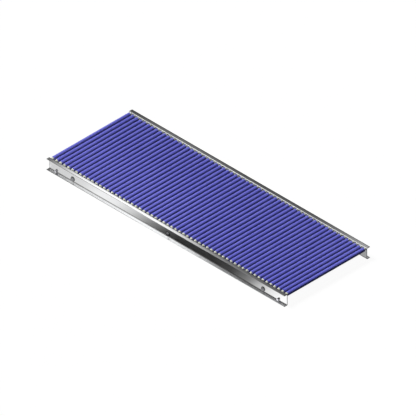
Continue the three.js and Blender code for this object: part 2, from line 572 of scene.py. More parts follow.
@dataclass(frozen=True)
class BarWithLitEnds(TurnedSteel):
    """Steel bar with a dark mill skin all round and its ends faced bright; the dark skin is also painted
    shade on the stubs' flanks, and the bright ends painted light.
    """

    lit_end_from: float = 0.2649
    lit_end_tone: Colour = (0.80, 0.80, 0.87)

    def _surface(self, graph: ShaderGraph) -> dict[str, Feed]:
        """Brightens the end faces of the turned bar, partly as painted light on the stubs' ends.

        Args:
            graph: The material's graph.

        Returns:
            What the Principled shader gets.
        """
        surface = super()._surface(graph)
        face = graph.past(graph.axes()[1].size(), self.lit_end_from, ((0.5, 0.0), (0.55, 1.0)))
        surface["Base Color"] = graph.mixed(face, surface["Base Color"], shade(self.lit_end_tone))
        return surface


@dataclass(frozen=True)
class PlatedSteel(Finish):
    """Zinc-plated fasteners: a pale bluish plate, mottled, with darker worn blotches."""

    worn: Colour = (0.3, 0.29, 0.28)
    mottle_depth: float = 0.00003

    def _surface(self, graph: ShaderGraph) -> dict[str, Feed]:
        """Works out the mottling and the wear.

        Args:
            graph: The material's graph.

        Returns:
            What the Principled shader gets.
        """
        place = graph.place()
        mottle = graph.noise(place, 330.0, 4.0, 0.6)
        cloud = graph.noise(place, 110.0, 3.0)
        fine = graph.noise(place, 2100.0)
        wear = graph.ramp(cloud * 0.6 + mottle * 0.4, ((0.5, 0.0), (0.68, 1.0)))
        body = self._varied(graph, mottle, 0.86, 1.1)
        return {
            "Base Color": graph.mixed(wear * 0.45, body, shade(self.worn)),
            "Metallic": 1.0,
            "Roughness": self.roughness + (mottle - 0.5) * 0.14 + wear * 0.12,
            "Normal": graph.bumped(fine * 0.4 + mottle * 0.6, self.mottle_depth),
        }


ROLLER_BLUE = TubePlastic("roller_blue", (0.135, 0.141, 0.66), 0.42)
CAP_CREAM = MouldedPlastic("cap_cream", (0.74, 0.762, 0.63), 0.50)
RAIL_BRIGHT = RolledSheet("rail_bright_sheet", (0.83, 0.835, 0.84), 0.34)
TIE_DRAWN = TurnedSteel("tie_drawn_tube", (0.55, 0.56, 0.57), 0.34, 500.0, 10.0)
AXLE_GROUND = TurnedSteel("axle_ground_bar", (0.58, 0.58, 0.6), 0.26)
FASTENER_ZINC = PlatedSteel("fastener_zinc", (0.28, 0.283, 0.295), 0.34, (0.13, 0.125, 0.12))
WASHER_DULL = PlatedSteel("washer_dull", (0.07, 0.07, 0.074), 0.40, (0.04, 0.038, 0.036))
# Dark skin and bright end faces: partly the bar's own finish, partly painted shade on the stubs' flanks and
# painted light on their ends.
END_ROD_BAR = BarWithLitEnds("end_rod_bar", (0.27, 0.27, 0.285), 0.34, film=(0.10, 0.095, 0.09))


class MeshShop:
    """Makes closed meshes from profiles, and finishes them as objects."""

    ROUND_SHARE = 0.3

    @staticmethod
    def bridge(
        shape: bmesh.types.BMesh, first: Sequence[bmesh.types.BMVert], second: Sequence[bmesh.types.BMVert]
    ) -> None:
        """Joins two closed loops of points by a ring of faces.

        Args:
            shape: The mesh that the faces are added to.
            first: One loop, or a single point where the ring closes in a pole.
            second: The other.
        """
        for step in range(max(len(first), len(second))):
            corners = (
                first[step % len(first)],
                second[step % len(second)],
                second[(step + 1) % len(second)],
                first[(step + 1) % len(first)],
            )
            shape.faces.new(tuple(dict.fromkeys(corners)))

    @staticmethod
    def turned(sides: int, *profiles: Profile) -> bmesh.types.BMesh:
        """Turns profiles round the Y axis.

        A profile that starts and ends at radius 0 closes in two poles. Any other is the outline of a hollow
        ring, whose last point joins its first.

        Args:
            sides: Steps round the axis.
            profiles: Each a row of pairs of place along Y and radius.

        Returns:
            One mesh of all the turned shapes.
        """
        shape = bmesh.new()
        turns = [2 * math.pi * step / sides for step in range(sides)]
        for profile in profiles:
            loops = []
            for along, radius in profile:
                angles = turns if radius else (0.0,)
                points = ((radius * math.sin(a), along, radius * math.cos(a)) for a in angles)
                loops.append([shape.verts.new(point) for point in points])
            back_to_start = loops[:1] if len(loops[0]) > 1 else []
            for first, second in zip(loops, loops[1:] + back_to_start):
                MeshShop.bridge(shape, first, second)
        return shape

    @staticmethod
    def both_sides(profile: Profile) -> tuple[Profile, Profile]:
        """A profile at the far side, and its mirror image at the near side."""
        return profile, [(-along, radius) for along, radius in profile]

    @staticmethod
    def through(end: Profile) -> Profile:
        """A profile that runs from the far end to its mirror image at the near end."""
        return [*end, *((-along, radius) for along, radius in reversed(end))]

    @staticmethod
    def eased(along: float, radius: float, ease: float, facing: int = 1) -> list[Point]:
        """Rounds off the outer corner of a profile.

        Args:
            along: The corner's place along Y.
            radius: The corner's radius.
            ease: How far the rounding reaches.
            facing: 1 where the end face looks along +Y, else -1.

        Returns:
            Three points, from the round face to the end face.
        """
        short = ease * MeshShop.ROUND_SHARE
        middle = (along - facing * short, radius - short)
        return [(along - facing * ease, radius), middle, (along, radius - ease)]

    @staticmethod
    def object_from(name: str, shape: bmesh.types.BMesh) -> bpy.types.Object:
        """Makes an object at the origin, its faces pointing outwards.

        Args:
            name: The object's name.
            shape: Its mesh, which is used up.

        Returns:
            The object, in the scene.
        """
        bmesh.ops.recalc_face_normals(shape, faces=shape.faces)
        mesh = bpy.data.meshes.new(name)
        shape.to_mesh(mesh)
        shape.free()
        return new_object(name, mesh)

    @staticmethod
    def smooth(made: bpy.types.Object, flats_stay: bool = False) -> None:
        """Shades round faces smooth, with sharp edges where the surface turns.

        Args:
            made: The object.
            flats_stay: True where faces square to an axis are shaded flat.
        """
        mesh = made.data
        mesh.shade_smooth()
        mesh.set_sharp_from_angle(angle=SMOOTH_BELOW)
        if flats_stay:
            for face in mesh.polygons:
                face.use_smooth = max(abs(part) for part in face.normal) < AXIS_ALIGNED


class GeometryTree(NodeGraph):
    """A Geometry Nodes tree over a straight row, which ends in Realize Instances and Set Material."""

    ROW_SOCKETS = (("Count", "NodeSocketInt"), ("First", "NodeSocketVector"), ("Step", "NodeSocketVector"))

    def __init__(self, name: str, sockets: Sequence[tuple[str, str]]) -> None:
        """Makes the tree with its interface.

        Args:
            name: The tree's name.
            sockets: The name and kind of each input between those of the row and the material.
        """
        super().__init__(bpy.data.node_groups.new(name, "GeometryNodeTree"))
        face = self.tree.interface
        face.new_socket("Geometry", in_out="OUTPUT", socket_type="NodeSocketGeometry")
        face.new_socket("Geometry", in_out="INPUT", socket_type="NodeSocketGeometry")
        self.keys = {}
        for title, kind in (*self.ROW_SOCKETS, *sockets, ("Material", "NodeSocketMaterial")):
            self.keys[title] = face.new_socket(title, in_out="INPUT", socket_type=kind).identifier
        self.start = self.node("NodeGroupInput")

    def given(self, title: str) -> Wire:
        """The group input of that name."""
        return self.start.beside(title)

    def copies(self, shape: Wire, rotation: Feed) -> Wire:
        """Puts a copy of a shape at each place of the row.

        Args:
            shape: The geometry to repeat.
            rotation: How each copy is turned.

        Returns:
            The copies, as instances.
        """
        spread = {
            "Count": self.given("Count"),
            "Start Location": self.given("First"),
            "Offset": self.given("Step"),
        }
        line = self.node("GeometryNodeMeshLine", {"mode": "OFFSET"}, spread)
        inputs = {"Points": line, "Instance": shape, "Rotation": rotation}
        return self.node("GeometryNodeInstanceOnPoints", None, inputs)

    def realized(self, geometry: Wire) -> Wire:
        """The geometry with its instances made real."""
        return self.node("GeometryNodeRealizeInstances", None, {"Geometry": geometry})

    def close(self, geometry: Wire) -> None:
        """Makes the geometry real, gives it its material and sends it out."""
        inputs = {"Geometry": self.realized(geometry), "Material": self.given("Material")}
        self.node("NodeGroupOutput", None, {"Geometry": self.node("GeometryNodeSetMaterial", None, inputs)})

    def put_on(self, made: bpy.types.Object, values: Mapping[str, object]) -> None:
        """Adds the tree to an object as a modifier.

        Args:
            made: The object whose mesh is the tree's geometry.
            values: The value of each named input.
        """
        modifier = made.modifiers.new(self.tree.name, "NODES")
        modifier.node_group = self.tree
        for title, value in values.items():
            modifier[self.keys[title]] = value

    @staticmethod
    def settle(made: bpy.types.Object) -> None:
        """Turns the result of the object's modifiers into its plain mesh.

        Args:
            made: The object, whose modifiers go.
        """
        layer = bpy.context.evaluated_depsgraph_get()
        result = bpy.data.meshes.new_from_object(made.evaluated_get(layer), depsgraph=layer)
        made.modifiers.clear()
        made.data = result
        result.name = made.name


class RowTree(GeometryTree):
    """Repeats the object's mesh along a straight row, each copy turned a little further about Y."""

    def __init__(self) -> None:
        """Builds the tree."""
        super().__init__("Row", (("Turn", "NodeSocketFloat"),))
        angle = self.node("GeometryNodeInputIndex") * self.given("Turn")
        turned = self.node("ShaderNodeCombineXYZ", None, {"Y": angle})
        self.close(self.copies(self.given("Geometry"), turned))


class PunchTree(GeometryTree):
    """Punches a row of round holes along Y through the object's mesh."""

    ALONG_Y: Triple = (math.pi / 2, 0.0, 0.0)

    def __init__(self) -> None:
        """Builds the tree."""
        sockets = (("Radius", "NodeSocketFloat"), ("Sides", "NodeSocketInt"), ("Depth", "NodeSocketFloat"))
        super().__init__("PunchedRow", sockets)
        punch = self.node(
            "GeometryNodeMeshCylinder",
            None,
            {"Vertices": self.given("Sides"), "Radius": self.given("Radius"), "Depth": self.given("Depth")},
        )
        cut = self.node(
            "GeometryNodeMeshBoolean",
            {"operation": "DIFFERENCE", "solver": "EXACT"},
            {"Mesh 1": self.given("Geometry"), "Mesh 2": self.realized(self.copies(punch, self.ALONG_Y))},
        )
        self.close(cut)


@dataclass(frozen=True)
class Row:
    """Equal steps along X, at one height."""

    count: int
    first: float
    step: float
    height: float

    @classmethod
    def centred(cls, count: int, step: float, height: float) -> "Row":
        """A row with its middle at X 0."""
        return cls(count, -(count - 1) / 2 * step, step, height)

    def stretch(self, start: int, count: int) -> "Row":
        """Some of its places, from a number on."""
        return Row(count, self.first + start * self.step, self.step, self.height)

    def values(self, aside: float = 0.0) -> dict[str, object]:
        """The inputs that both trees share, for a row at that Y."""
        first = (self.first, aside, self.height)
        return {"Count": self.count, "First": first, "Step": (self.step, 0.0, 0.0)}


class Shop:
    """The trees that sub-assemblies share, and how a finished piece joins the frame."""

    def __init__(self) -> None:
        """Makes both trees."""
        self.rows = RowTree()
        self.punches = PunchTree()

    def repeated(
        self, name: str, shape: bmesh.types.BMesh, row: Row, finish: Finish, turn: float = 0.0
    ) -> bpy.types.Object:
        """Makes a plain mesh of one shape repeated along a row.

        Args:
            name: The piece's name.
            shape: The shape, at X 0 and Z 0.
            row: Where its copies go.
            finish: What it is made of.
            turn: How much further each copy is turned about Y.

        Returns:
            The piece.
        """
        made = MeshShop.object_from(name, shape)
        self.rows.put_on(made, {**row.values(), "Turn": turn, "Material": finish.material()})
        GeometryTree.settle(made)
        MeshShop.smooth(made)
        return made

    @staticmethod
    def join_frame(made: bpy.types.Object, body: str, slot: Slot, nodes: Iterable[str] = ()) -> None:
        """Lets a piece ride on its body, in the place of the nodes that it stands for.

        Args:
            made: The piece.
            body: The CAD body that it moves with.
            slot: The record's material slot of its finish. It is not used.
            nodes: The CAD nodes that it replaces.
        """
        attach(made, body)
        stood_for = list(nodes)
        if stood_for:
            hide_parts(*stood_for)
        faces = len(made.data.polygons)
        LOG.info("%s on %s, %d faces, for %s", made.name, body, faces, stood_for or "no node")


@dataclass(frozen=True)
class Layout:
    """Places that more than one sub-assembly follows."""

    length: float = 1.5
    web_inner: float = 0.250
    web_outer: float = 0.252
    pitch: float = 0.025
    roller_count: int = 60
    joined_count: int = 11
    axle_height: float = 0.052
    axle_hole_radius: float = 0.00335
    tie_spacing: float = 0.6
    tie_count: int = 3
    tie_height: float = 0.0165
    tie_hole_radius: float = 0.0053
    end_spacing: float = 1.4
    end_count: int = 2
    end_height: float = 0.013
    end_hole_radius: float = 0.00635

    def axles(self) -> Row:
        """The places of all axles."""
        return Row.centred(self.roller_count, self.pitch, self.axle_height)

    def ties(self) -> Row:
        """The places of the cross ties."""
        return Row.centred(self.tie_count, self.tie_spacing, self.tie_height)

    def ends(self) -> Row:
        """The places of the end rods."""
        return Row.centred(self.end_count, self.end_spacing, self.end_height)


@dataclass(frozen=True)
class SideRail:
    """A side rail folded from sheet to a C that opens outwards, with its holes."""

    layout: Layout
    side: Side
    height: float = 0.060
    width: float = 0.020
    sheet: float = 0.002
    fold: float = 0.002
    fold_steps: int = 8
    edge: float = 0.0005
    edge_steps: int = 4
    end_bevel: float = 0.0002
    hole_sides: int = 24
    punch_depth: float = 0.012

    @staticmethod
    def _arc(centre: Point, radius: float, start: float, stop: float, steps: int) -> list[Point]:
        """Points on an arc, from one angle in degrees to another."""
        turns = [math.radians(start + (stop - start) * step / steps) for step in range(steps + 1)]
        return [(centre[0] + radius * math.cos(a), centre[1] + radius * math.sin(a)) for a in turns]

    def _section(self, inset: float) -> list[Point]:
        """The sheet's outline, drawn in by an inset.

        Args:
            inset: How far the outline is drawn in.

        Returns:
            Pairs of distance outwards from the web's inner face and height.
        """
        bend = self.fold + self.sheet
        tip = self.width - inset - self.edge
        low, high = inset + self.edge, self.sheet - inset - self.edge
        top_low, top_high = self.height - high, self.height - low
        steps, corner = self.fold_steps, self.edge_steps
        outer, inner = bend - inset, self.fold + inset
        points = self._arc((bend, bend), outer, 270, 180, steps)
        points += self._arc((bend, self.height - bend), outer, 180, 90, steps)
        points += self._arc((tip, top_high), self.edge, 90, 0, corner)
        points += self._arc((tip, top_low), self.edge, 0, -90, corner)
        points += self._arc((bend, self.height - bend), inner, 90, 180, steps)
        points += self._arc((bend, bend), inner, 180, 270, steps)
        points += self._arc((tip, high), self.edge, 90, 0, corner)
        points += self._arc((tip, low), self.edge, 0, -90, corner)
        return points

    def _blank(self) -> bmesh.types.BMesh:
        """Draws the folded sheet without holes, its ends bevelled.

        Returns:
            The closed mesh.
        """
        shape = bmesh.new()
        half, bevel = self.layout.length / 2, self.end_bevel
        start, sign = self.layout.web_inner, self.side.value
        loops = []
        for along, inset in ((-half, bevel), (bevel - half, 0.0), (half - bevel, 0.0), (half, bevel)):
            outline = self._section(inset)
            loops.append([shape.verts.new((along, sign * (start + out), up)) for out, up in outline])
        for first, second in zip(loops, loops[1:]):
            MeshShop.bridge(shape, first, second)
        shape.faces.new(loops[0])
        shape.faces.new(loops[-1])
        return shape

    def build(self, shop: Shop) -> None:
        """Folds the sheet, punches its holes and joins it to the frame.

        Args:
            shop: The shared trees.
        """
        layout = self.layout
        node = f"rail_{self.side.name.lower()}"
        made = MeshShop.object_from(f"{node}_sheet", self._blank())
        middle = self.side.value * (layout.web_inner + layout.web_outer) / 2
        shared = {"Sides": self.hole_sides, "Depth": self.punch_depth, "Material": RAIL_BRIGHT.material()}
        for row, radius in (
            (layout.axles(), layout.axle_hole_radius),
            (layout.ties(), layout.tie_hole_radius),
            (layout.ends(), layout.end_hole_radius),
        ):
            shop.punches.put_on(made, {**row.values(middle), "Radius": radius, **shared})
        GeometryTree.settle(made)
        MeshShop.smooth(made, flats_stay=True)
        shop.join_frame(made, "frame", Slot.RAIL, (node,))


@dataclass(frozen=True)
class RollerBed:
    """The rollers: a plastic tube, two moulded caps with their bushes, and a steel axle each."""

    layout: Layout
    tube_radius: float = 0.010
    tube_bore: float = 0.0085
    tube_half: float = 0.241
    tube_edge: float = 0.0004
    edge_steps: int = 4
    plug_radius: float = 0.0084
    plug_start: float = 0.229
    collar_end: float = 0.2437
    hub_radius: float = 0.0068
    hub_tip_radius: float = 0.0058
    hub_end: float = 0.249
    recess_radius: float = 0.0043
    recess_depth: float = 0.0012
    cap_bore: float = 0.0032
    cap_ease: float = 0.0005
    axle_radius: float = 0.003
    axle_half: float = 0.254
    axle_edge: float = 0.0005
    tube_sides: int = 40
    cap_sides: int = 36
    axle_sides: int = 20

    def _tube(self) -> bmesh.types.BMesh:
        """Turns the hollow tube, its outer edges eased.

        Returns:
            The closed mesh.
        """
        half, edge, outer, steps = self.tube_half, self.tube_edge, self.tube_radius, self.edge_steps
        quarter = [math.radians(90 * step / steps) for step in range(steps + 1)]
        eased = [(half - edge * (1 - math.cos(a)), outer - edge * (1 - math.sin(a))) for a in quarter]
        return MeshShop.turned(self.tube_sides, MeshShop.through([(half, self.tube_bore), *eased]))

    def _caps(self) -> bmesh.types.BMesh:
        """Turns both caps: plug, collar, tapered hub and the recess round the axle.

        Returns:
            The closed meshes in one.
        """
        ease, end, collar = self.cap_ease, self.hub_end, self.collar_end
        profile = [
            (self.plug_start, self.cap_bore),
            (self.plug_start, self.plug_radius - ease),
            (self.plug_start + ease, self.plug_radius),
            *MeshShop.eased(collar, self.plug_radius, ease),
            (collar, self.hub_radius + ease),
            (collar + ease, self.hub_radius),
            *MeshShop.eased(end, self.hub_tip_radius, ease),
            (end, self.recess_radius),
            (end - self.recess_depth, self.recess_radius - ease),
            (end - self.recess_depth, self.cap_bore),
        ]
        return MeshShop.turned(self.cap_sides, *MeshShop.both_sides(profile))

    def _axle(self) -> bmesh.types.BMesh:
        """Turns the axle, its ends chamfered.

        Returns:
            The closed mesh.
        """
        half, radius, edge = self.axle_half, self.axle_radius, self.axle_edge
        end = [(half, 0.0), (half, radius - edge), (half - edge, radius)]
        return MeshShop.turned(self.axle_sides, MeshShop.through(end))

    def _dress(self, shop: Shop, name: str, row: Row, body: str) -> None:
        """Makes the three pieces of one roller, or of a row of them.

        Args:
            shop: The shared trees.
            name: The CAD node that they stand for, and what their names start with.
            row: Where the rollers are.
            body: The body that they ride on.
        """
        tube = shop.repeated(f"{name}_tube", self._tube(), row, ROLLER_BLUE)
        shop.join_frame(tube, body, Slot.ROLLER, (name,))
        caps = shop.repeated(f"{name}_caps", self._caps(), row, CAP_CREAM)
        shop.join_frame(caps, body, Slot.CAP)
        axle = shop.repeated(f"{name}_axle", self._axle(), row, AXLE_GROUND)
        shop.join_frame(axle, body, Slot.FASTENER)

    def build(self, shop: Shop) -> None:
        """Makes the rollers of the frame as one row, and those that turn one by one.

        Args:
            shop: The shared trees.
        """
        row, joined = self.layout.axles(), self.layout.joined_count
        self._dress(shop, "rollers_joined", row.stretch(0, joined), "frame")
        for index in range(joined, row.count):
            name = f"roller_{index + 1:02d}"
            self._dress(shop, name, row.stretch(index, 1), name)


@dataclass(frozen=True)
class CrossTies:
    """Threaded rods across the section, in spacer tubes, with a washer and a nut at each end."""

    layout: Layout
    rod_radius: float = 0.005
    rod_half: float = 0.2618
    rod_edge: float = 0.0008
    rod_point: float = 0.0002
    rod_sides: int = 24
    thread_pitch: float = 0.0015
    thread_depth: float = 0.0008
    thread_turns: int = 14
    tube_radius: float = 0.010
    tube_bore: float = 0.0053
    tube_half: float = 0.2497
    tube_edge: float = 0.0004
    washer_inner: float = 0.2523
    washer_thickness: float = 0.002
    washer_radius: float = 0.012
    washer_bore: float = 0.00525
    washer_edge: float = 0.0004
    across_flats: float = 0.017
    nut_height: float = 0.006
    nut_bore: float = 0.0048
    nut_countersink: float = 0.0006
    nut_cone: float = math.radians(30)
    nut_face_share: float = 0.96
    nut_sides: int = 48
    round_sides: int = 40
    turn: float = 0.37

    def _rod(self) -> bmesh.types.BMesh:
        """Turns the rod, threaded at both ends with the crests and roots as rings.

        Returns:
            The closed mesh.
        """
        crest, root, pitch = self.rod_radius, self.rod_radius - self.thread_depth, self.thread_pitch
        threaded_to = self.rod_half - self.rod_edge
        end = [(self.rod_half, 0.0), (self.rod_half, root - self.rod_point), (threaded_to, crest)]
        for ring in range(self.thread_turns):
            start = threaded_to - ring * pitch
            end += [(start - pitch / 2, root), (start - pitch, crest)]
        return MeshShop.turned(self.rod_sides, MeshShop.through(end))

    def _tube(self) -> bmesh.types.BMesh:
        """Turns the spacer tube, chamfered inside and out.

        Returns:
            The closed mesh.
        """
        half, edge = self.tube_half, self.tube_edge
        end = [
            (half - edge, self.tube_bore),
            (half, self.tube_bore + edge),
            (half, self.tube_radius - edge),
            (half - edge, self.tube_radius),
        ]
        return MeshShop.turned(self.round_sides, MeshShop.through(end))

    def _washers(self) -> bmesh.types.BMesh:
        """Turns a washer at each side, its outer edges rounded by the press.

        Returns:
            The closed meshes in one.
        """
        low, high = self.washer_inner, self.washer_inner + self.washer_thickness
        outer, edge = self.washer_radius, self.washer_edge
        profile = [
            (low, self.washer_bore),
            *reversed(MeshShop.eased(low, outer, edge, -1)),
            *MeshShop.eased(high, outer, edge),
            (high, self.washer_bore),
        ]
        return MeshShop.turned(self.round_sides, *MeshShop.both_sides(profile))

    def _nuts(self) -> bmesh.types.BMesh:
        """Makes a hexagon nut at each side, its corners cut back by a cone.

        Returns:
            The closed meshes in one.
        """
        shape = bmesh.new()
        low = self.washer_inner + self.washer_thickness
        high = low + self.nut_height
        apothem, bore, sink = self.across_flats / 2, self.nut_bore, self.nut_countersink
        face = apothem * self.nut_face_share
        half_flat = math.pi / 6
        for sign in (1, -1):
            columns = []
            for step in range(self.nut_sides):
                angle = 2 * math.pi * step / self.nut_sides
                wall = apothem / math.cos((angle + half_flat) % (2 * half_flat) - half_flat)
                drop = (wall - face) * math.tan(self.nut_cone)
                outline = (
                    (low + sink, bore),
                    (low, bore + sink),
                    (low, face),
                    (low + drop, wall),
                    (high - drop, wall),
                    (high, face),
                    (high, bore + sink),
                    (high - sink, bore),
                )
                points = ((r * math.sin(angle), sign * y, r * math.cos(angle)) for y, r in outline)
                columns.append([shape.verts.new(point) for point in points])
            for first, second in zip(columns, columns[1:] + columns[:1]):
                MeshShop.bridge(shape, first, second)
        return shape

    def build(self, shop: Shop) -> None:
        """Makes the rods, tubes, washers and nuts of all ties.

        Args:
            shop: The shared trees.
        """
        row = self.layout.ties()
        numbers = range(1, row.count + 1)
        rods = shop.repeated("tie_rods", self._rod(), row, FASTENER_ZINC)
        shop.join_frame(rods, "frame", Slot.FASTENER, [f"tie_rod_{number}" for number in numbers])
        tubes = shop.repeated("tie_tubes", self._tube(), row, TIE_DRAWN)
        shop.join_frame(tubes, "frame", Slot.TIE, [f"tie_tube_{number}" for number in numbers])
        washers = shop.repeated("tie_washers", self._washers(), row, WASHER_DULL)
        shop.join_frame(washers, "frame", Slot.FASTENER)
        nuts = shop.repeated("tie_nuts", self._nuts(), row, FASTENER_ZINC, self.turn)
        shop.join_frame(nuts, "frame", Slot.FASTENER)
        for piece in (rods, washers, nuts):
            piece.visible_glossy = False


@dataclass(frozen=True)
class EndRods:
    """Turned rods across both ends, each with a shoulder inside each web and a stub past it."""

    layout: Layout
    radius: float = 0.006
    half: float = 0.265
    edge: float = 0.0007
    shoulder_radius: float = 0.009
    shoulder_inner: float = 0.2467
    shoulder_outer: float = 0.2497
    shoulder_edge: float = 0.0004
    centre_radius: float = 0.0013
    centre_depth: float = 0.0011
    sides: int = 36

    def _rod(self) -> bmesh.types.BMesh:
        """Turns the rod, with a centre hole in each end.

        Returns:
            The closed mesh.
        """
        edge = self.shoulder_edge
        end = [
            (self.half - self.centre_depth, 0.0),
            (self.half, self.centre_radius),
            (self.half, self.radius - self.edge),
            (self.half - self.edge, self.radius),
            (self.shoulder_outer, self.radius),
            (self.shoulder_outer, self.shoulder_radius - edge),
            (self.shoulder_outer - edge, self.shoulder_radius),
            (self.shoulder_inner + edge, self.shoulder_radius),
            (self.shoulder_inner, self.shoulder_radius - edge),
            (self.shoulder_inner, self.radius),
        ]
        return MeshShop.turned(self.sides, MeshShop.through(end))

    def build(self, shop: Shop) -> None:
        """Makes both rods and joins them to the frame.

        Args:
            shop: The shared trees.
        """
        rods = shop.repeated("end_rods", self._rod(), self.layout.ends(), END_ROD_BAR)
        shop.join_frame(rods, "frame", Slot.END_ROD, ("end_rod_1", "end_rod_2"))
        rods.visible_glossy = False


@dataclass(frozen=True)
class Fade:
    """A ramp of greys along X, over a span that starts at a place."""

    start: float
    span: float
    stops: Stops

    def on(self, graph: ShaderGraph) -> Wire:
        """The fade in a staged sheet's graph."""
        return graph.ramp((graph.axes()[0] - self.start) * (1 / self.span), self.stops)


# How bright the air is where it is mirrored, from straight down at 0 to straight up at 1.
MIRRORED_AIR = ((0.50, 0.85), (0.58, 0.85), (0.68, 0.90), (0.80, 0.80), (0.90, 0.35))

# How bright each card is along the rails.
OVER_NEAR_GLOW = Fade(
    -1.2,
    2.0,
    (
        (0.0, 0.03),
        (0.155, 0.05),
        (0.19, 0.30),
        (0.25, 1.0),
        (0.31, 1.2),
        (0.49, 1.2),
        (0.56, 0.95),
        (0.61, 0.6),
        (0.66, 0.33),
        (0.73, 0.18),
        (0.85, 0.14),
    ),
)
OVER_LOWER_GLOW = Fade(
    -1.258,
    2.0,
    (
        (0.0, 0.07),
        (0.155, 0.11),
        (0.19, 0.5),
        (0.25, 1.45),
        (0.31, 1.8),
        (0.49, 1.8),
        (0.56, 1.6),
        (0.61, 1.0),
        (0.66, 0.5),
        (0.73, 0.16),
        (0.85, 0.08),
    ),
)
OVER_FAR_GLOW = Fade(
    -1.2,
    2.0,
    (
        (0.155, 0.07),
        (0.25, 0.17),
        (0.35, 0.18),
        (0.53, 0.10),
        (0.74, 0.12),
        (0.80, 0.17),
        (0.85, 0.27),
        (0.90, 0.45),
        (1.0, 0.6),
    ),
)
NEAR_WEB_GLOW = Fade(
    -0.85,
    1.65,
    (
        (0.0, 0.75),
        (0.115, 0.78),
        (0.18, 0.86),
        (0.245, 1.08),
        (0.305, 1.0),
        (0.37, 0.68),
        (0.433, 0.27),
        (0.49, 0.06),
        (0.54, 0.01),
        (0.69, 0.02),
        (0.75, 0.05),
        (0.815, 0.25),
        (0.88, 0.9),
        (0.94, 1.25),
    ),
)
NEAR_TIP_GLOW = Fade(-0.75, 1.5, ((0.25, 0.0), (0.34, 1.0), (0.60, 1.0), (0.70, 0.35), (1.0, 0.35)))
EVEN_GLOW = Fade(0.0, 1.0, ((0.0, 1.0), (1.0, 1.0)))

# How dark the painted shadow on the floor under the bed is, along X and by the distance from the middle line.
BED_SHADE_ALONG = Fade(-0.75, 1.5, ((0.0, 0.0), (0.06, 1.0), (0.83, 1.0), (0.963, 0.0)))
BED_SHADE_ACROSS = ((0.235, 1.0), (0.25, 0.0))


def stage_sheet(
    name: str,
    corners: Sequence[Triple],
    faces: Sequence[Sequence[int]],
    material: bpy.types.Material,
    unseen_by: Iterable[str] = (),
) -> None:
    """Stands a thin sheet in the studio, which isn't part of the conveyor.

    Args:
        name: The sheet's name.
        corners: Its points.
        faces: The numbers of each face's points.
        material: What it is made of.
        unseen_by: The kinds of rays that pass through it.
    """
    mesh = bpy.data.meshes.new(name)
    mesh.from_pydata(corners, [], faces)
    mesh.materials.append(material)
    made = new_object(name, mesh)
    for kind in unseen_by:
        setattr(made, f"visible_{kind}", False)


@dataclass(frozen=True)
class Card:
    """A card between two corners that only shiny surfaces see."""

    name: str
    low: Triple
    high: Triple
    glow: Fade
    strength: float = 1.0
    one_sided: bool = False

    def build(self) -> None:
        """Makes the card, which shines both ways, or only from its front where it is one-sided."""
        low, high = self.low, self.high
        corners = (low, (high[0], low[1], low[2]), high, (low[0], high[1], high[2]))
        material, graph = new_material(self.name)
        shader = graph.node("ShaderNodeEmission", None, {"Strength": self.glow.on(graph) * self.strength})
        graph.finish(graph.clear_from_behind(shader) if self.one_sided else shader)
        unseen_by = ("camera", "diffuse", "transmission", "volume_scatter", "shadow")
        stage_sheet(self.name, corners, ((0, 1, 2, 3),), material, unseen_by)


